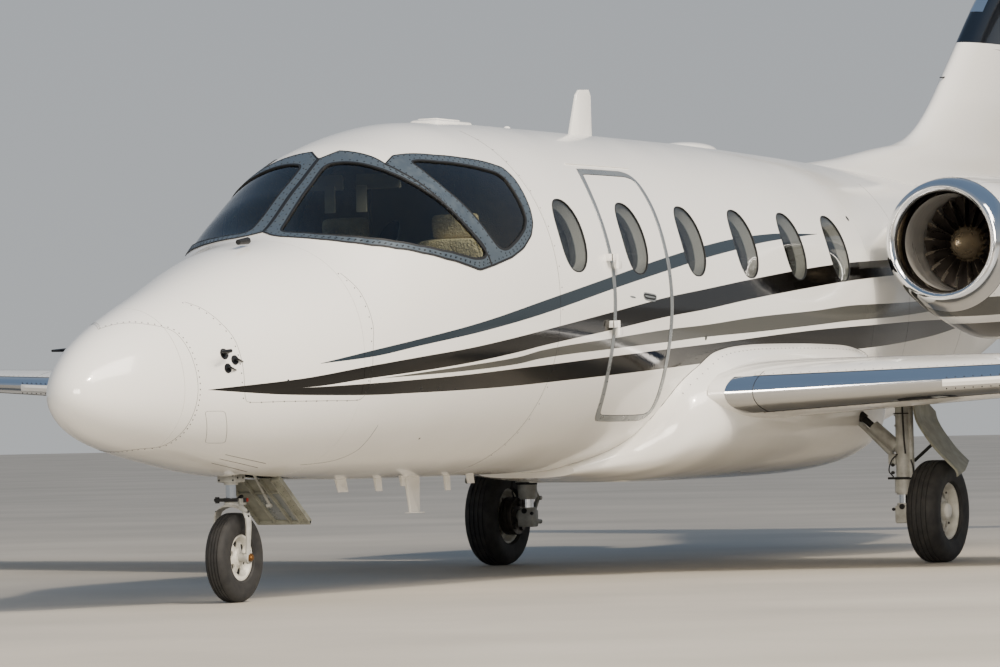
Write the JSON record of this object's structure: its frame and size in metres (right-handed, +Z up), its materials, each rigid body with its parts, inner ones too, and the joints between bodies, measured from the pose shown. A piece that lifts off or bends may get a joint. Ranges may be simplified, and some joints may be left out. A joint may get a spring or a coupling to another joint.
{
  "type": "twin-engine light business jet",
  "caption": "Light business jet parked on its gear, with rear-mounted fan engines, T-tail, hollow cabin and moving door, wheels, fans and control surfaces.",
  "frame": {"origin": "on the ground under the middle of the aircraft's overall box", "axes": "+X forward to the nose, +Y to port, +Z up"},
  "size_m": [14.7495, 13.25, 4.2395],
  "materials": {
    "composite_skin": "gloss",
    "nose_skin": "gloss",
    "wing_skin": "satin",
    "bright_edge": "polished",
    "window_frame": "satin",
    "windshield_glass": "polished",
    "cabin_pane": "polished",
    "cabin_trim": "matte",
    "cockpit_black": "matte",
    "seat_leather": "satin",
    "fan_metal": "satin",
    "engine_metal": "satin",
    "gear_metal": "satin",
    "hub_metal": "satin",
    "tyre_rubber": "matte",
    "gear_door": "satin"
  },
  "bodies": {
    "airframe": {"radome": "composite_skin", "nose_section": "nose_skin", "cockpit_section": "composite_skin", "cabin_shell": "composite_skin", "rear_fuselage": "composite_skin", "tail_cone": "composite_skin", "wing_fairing": "composite_skin", "windshield_frame": "window_frame", "windshield_left": "windshield_glass", "windshield_right": "windshield_glass", "side_window_left": "windshield_glass", "side_window_right": "windshield_glass", "front_cabin_window": "cabin_pane", "cabin_windows_left": "cabin_pane", "cabin_windows_right": "cabin_pane", "cabin_floor": "cabin_trim", "instrument_panel": "cockpit_black", "cockpit_seats": "seat_leather", "cabin_seats_left": "seat_leather", "cabin_seats_right": "seat_leather", "wing_left": "wing_skin", "wing_right": "wing_skin", "leading_edge_left": "bright_edge", "leading_edge_right": "bright_edge", "fin": "composite_skin", "tailplane": "composite_skin", "nacelle_left": "composite_skin", "nacelle_right": "composite_skin", "inlet_lip_left": "bright_edge", "inlet_lip_right": "bright_edge", "engine_block_left": "engine_metal", "engine_block_right": "engine_metal", "pylon_left": "composite_skin", "pylon_right": "composite_skin", "nose_leg": "gear_metal", "nose_gear_door": "gear_door", "main_leg_left": "gear_metal", "main_leg_right": "gear_metal", "main_gear_door_left": "gear_door", "main_gear_door_right": "gear_door"},
    "door": {"cabin_door": "composite_skin", "door_window": "cabin_pane"},
    "left_flap": {"flap_left": "wing_skin"},
    "right_flap": {"flap_right": "wing_skin"},
    "left_aileron": {"aileron_left": "wing_skin"},
    "right_aileron": {"aileron_right": "wing_skin"},
    "left_spoiler": {"spoiler_left": "wing_skin"},
    "right_spoiler": {"spoiler_right": "wing_skin"},
    "rudder": {"rudder": "composite_skin"},
    "left_elevator": {"elevator_left": "composite_skin"},
    "right_elevator": {"elevator_right": "composite_skin"},
    "left_fan": {"fan_left": "fan_metal"},
    "right_fan": {"fan_right": "fan_metal"},
    "nose_steer": {"nose_fork": "gear_metal"},
    "nose_wheel": {"nose_tyre": "tyre_rubber", "nose_hub": "hub_metal"},
    "left_wheel": {"main_tyre_left": "tyre_rubber", "main_hub_left": "hub_metal"},
    "right_wheel": {"main_tyre_right": "tyre_rubber", "main_hub_right": "hub_metal"}
  },
  "joints": [
    {"name": "door_swing", "type": "hinge", "parent": "airframe", "child": "door", "pos_m": [3.023, 0.872, 1.5], "axis": [0, 0, -1], "range_deg": [0, 150]},
    {"name": "flap_drive", "type": "hinge", "parent": "airframe", "child": "left_flap", "pos_m": [-0.275, 1.13, 1.02948], "axis": [0.1385, -0.9895, -0.0418], "range_deg": [0, 30]},
    {"name": "flap_drive_right", "type": "hinge", "parent": "airframe", "child": "right_flap", "pos_m": [-0.275, -1.13, 1.02948], "axis": [-0.1385, -0.9895, 0.0418], "range_deg": [0, 30]},
    {"name": "aileron_drive", "type": "hinge", "parent": "airframe", "child": "left_aileron", "pos_m": [-0.755, 4.47, 1.17051], "axis": [0.153, -0.9873, -0.0427], "range_deg": [-20, 20]},
    {"name": "aileron_drive_right", "type": "hinge", "parent": "airframe", "child": "right_aileron", "pos_m": [-0.755, -4.47, 1.17051], "axis": [-0.153, -0.9873, 0.0427], "range_deg": [-20, 20]},
    {"name": "spoiler_drive", "type": "hinge", "parent": "airframe", "child": "left_spoiler", "pos_m": [-0.1378, 2.45, 1.15229], "axis": [-0.1385, 0.9895, 0.0406], "range_deg": [0, 45]},
    {"name": "spoiler_drive_right", "type": "hinge", "parent": "airframe", "child": "right_spoiler", "pos_m": [-0.1378, -2.45, 1.15229], "axis": [0.1385, 0.9895, -0.0406], "range_deg": [0, 45]},
    {"name": "rudder_hinge", "type": "hinge", "parent": "airframe", "child": "rudder", "pos_m": [-5.8024, 0, 2.33], "axis": [-0.3552, 0, 0.9348], "range_deg": [-25, 25]},
    {"name": "elevator_drive", "type": "hinge", "parent": "airframe", "child": "left_elevator", "pos_m": [-6.59906, 0.13, 4.128], "axis": [0.2534, -0.9673, 0], "range_deg": [-25, 15]},
    {"name": "elevator_drive_right", "type": "hinge", "parent": "airframe", "child": "right_elevator", "pos_m": [-6.59906, -0.13, 4.128], "axis": [-0.2534, -0.9673, 0], "range_deg": [-25, 15]},
    {"name": "fan_spin_left", "type": "hinge", "parent": "airframe", "child": "left_fan", "pos_m": [-1.12, 1.278, 1.898], "axis": [1, 0, 0], "continuous": true},
    {"name": "fan_spin_right", "type": "hinge", "parent": "airframe", "child": "right_fan", "pos_m": [-1.12, -1.278, 1.898], "axis": [1, 0, 0], "continuous": true},
    {"name": "nose_steering", "type": "hinge", "parent": "airframe", "child": "nose_steer", "pos_m": [5.765, 0, 0.5], "axis": [0, 0, 1], "range_deg": [-45, 45]},
    {"name": "nose_wheel_roll", "type": "hinge", "parent": "nose_steer", "child": "nose_wheel", "pos_m": [5.745, 0, 0.225], "axis": [0, 1, 0], "continuous": true},
    {"name": "wheel_roll_left", "type": "hinge", "parent": "airframe", "child": "left_wheel", "pos_m": [-0.121, 1.44, 0.3], "axis": [0, 1, 0], "continuous": true},
    {"name": "wheel_roll_right", "type": "hinge", "parent": "airframe", "child": "right_wheel", "pos_m": [-0.121, -1.44, 0.3], "axis": [0, 1, 0], "continuous": true}
  ],
  "couplings": [
    {"joint": "flap_drive_right", "follows": "flap_drive", "ratio": 1},
    {"joint": "aileron_drive_right", "follows": "aileron_drive", "ratio": -1},
    {"joint": "spoiler_drive_right", "follows": "spoiler_drive", "ratio": 1},
    {"joint": "elevator_drive_right", "follows": "elevator_drive", "ratio": 1}
  ]
}
